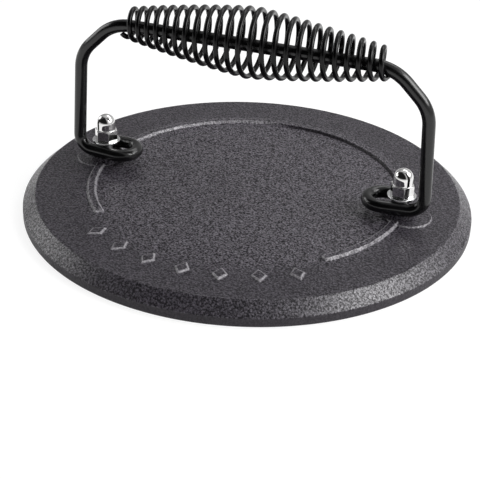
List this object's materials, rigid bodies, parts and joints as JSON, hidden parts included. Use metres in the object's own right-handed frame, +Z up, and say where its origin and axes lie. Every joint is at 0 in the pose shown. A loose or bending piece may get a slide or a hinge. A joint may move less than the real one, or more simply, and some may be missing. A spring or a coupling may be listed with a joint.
{
  "type": "grill press",
  "caption": "Round cast iron press plate with a bevelled rim and a raised band, under a bent rod handle with a barrel-shaped wire coil grip held by domed cap nuts.",
  "frame": {"origin": "centre of the plate's flat underside, where the press rests on the food or the grill", "axes": "+Z up, square to the plate; +X along the handle; -Y towards the side where the raised band is open"},
  "size_m": [0.216, 0.216, 0.1016],
  "materials": {
    "cast_plate": "as-cast, fine sand texture, pre-seasoned",
    "black_rod": "gloss black enamel",
    "black_wire": "gloss black enamel",
    "stud_steel": "plain zinc",
    "washer_plating": "bright",
    "nut_plating": "polished"
  },
  "bodies": {
    "root": {"plate": "cast_plate", "handle_rod": "black_rod", "coil_grip": "black_wire", "left_stud": "stud_steel", "right_stud": "stud_steel", "left_washer": "washer_plating", "right_washer": "washer_plating", "left_cap_nut": "nut_plating", "right_cap_nut": "nut_plating"}
  },
  "joints": []
}
